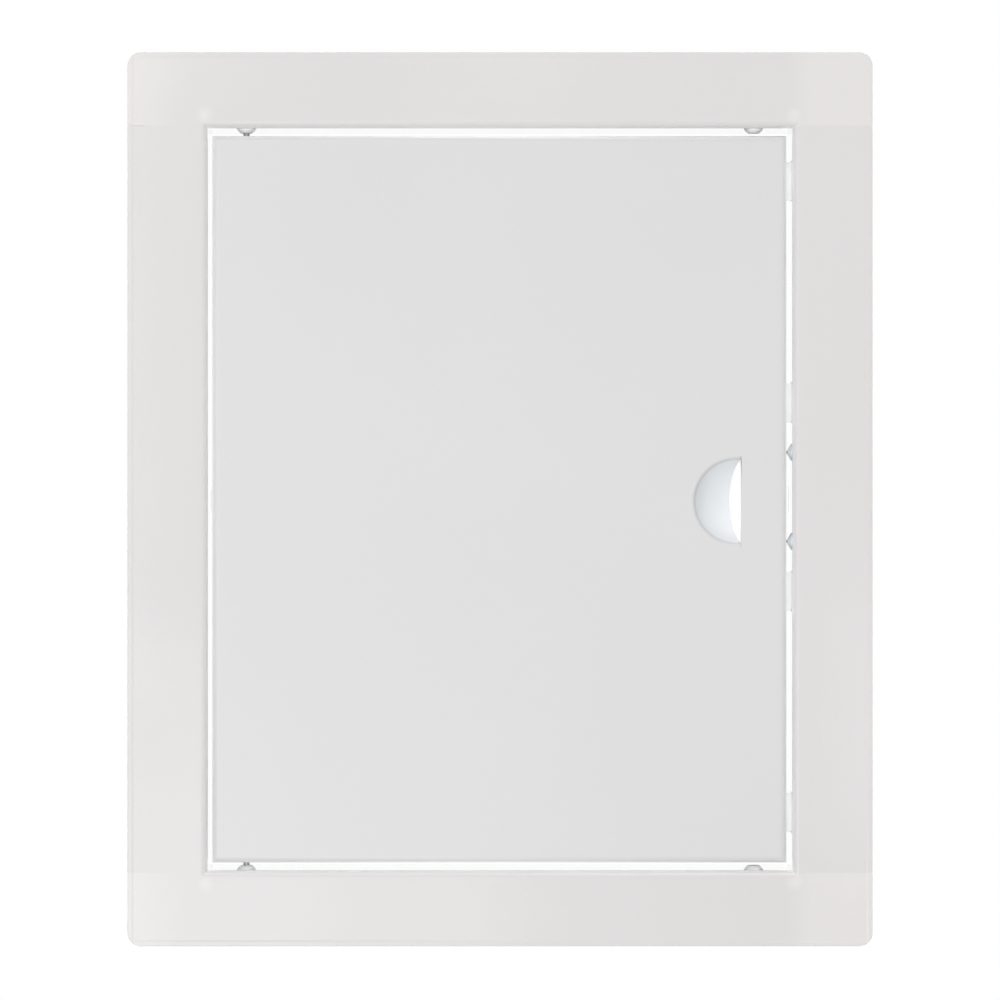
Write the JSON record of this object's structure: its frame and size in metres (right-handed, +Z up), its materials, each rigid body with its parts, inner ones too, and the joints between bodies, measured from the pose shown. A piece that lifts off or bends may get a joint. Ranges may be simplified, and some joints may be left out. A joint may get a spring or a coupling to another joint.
{
  "type": "access panel",
  "caption": "Flush rectangular inspection hatch: flanged sheet-steel frame with a sleeve, side-hung door pan with a half-moon finger pull, and sprung catch plungers.",
  "frame": {"origin": "centre of the opening, in the plane of the back of the flange, where the wall's surface lies", "axes": "+X to the right seen from the front, +Y into the wall, +Z up along the hinge axis"},
  "size_m": [0.25, 0.0358, 0.3],
  "materials": {
    "frame_paint": "glossy white powder coat with fine orange peel",
    "door_paint": "smooth semi-gloss white powder coat",
    "bush_plastic": "satin moulded white plastic",
    "plunger_plastic": "satin moulded white plastic",
    "pin_steel": "bright turned steel, lightly oiled",
    "spring_steel": "drawn spring wire",
    "zinc_plate": "zinc-plated pressed steel"
  },
  "bodies": {
    "frame": {"frame_top_rail": "frame_paint", "frame_bottom_rail": "frame_paint", "frame_left_rail": "frame_paint", "frame_right_rail": "frame_paint", "hinge_bush_top": "bush_plastic", "hinge_bush_bottom": "bush_plastic", "spare_bush_top": "bush_plastic", "spare_bush_bottom": "bush_plastic", "hinge_pin_top": "pin_steel", "hinge_pin_bottom": "pin_steel", "catch_spring_upper": "spring_steel", "catch_spring_lower": "spring_steel", "catch_cup_upper": "zinc_plate", "catch_cup_lower": "zinc_plate"},
    "door": {"door_panel": "door_paint"},
    "upper_plunger": {"catch_plunger_upper": "plunger_plastic"},
    "lower_plunger": {"catch_plunger_lower": "plunger_plastic"}
  },
  "joints": [
    {"name": "door_hinge", "type": "hinge", "parent": "frame", "child": "door", "pos_m": [-0.0853, 0.0052, 0], "axis": [0, 0, -1], "range_deg": [0, 130]},
    {"name": "upper_plunger_slide", "type": "slide", "parent": "frame", "child": "upper_plunger", "axis": [1, 0, 0], "range_m": [0, 0.0016], "stiffness_N_per_m": 700, "springref_m": -0.002, "deforming": ["catch_spring_upper"]},
    {"name": "lower_plunger_slide", "type": "slide", "parent": "frame", "child": "lower_plunger", "axis": [1, 0, 0], "range_m": [0, 0.0016], "stiffness_N_per_m": 700, "springref_m": -0.002, "deforming": ["catch_spring_lower"]}
  ]
}
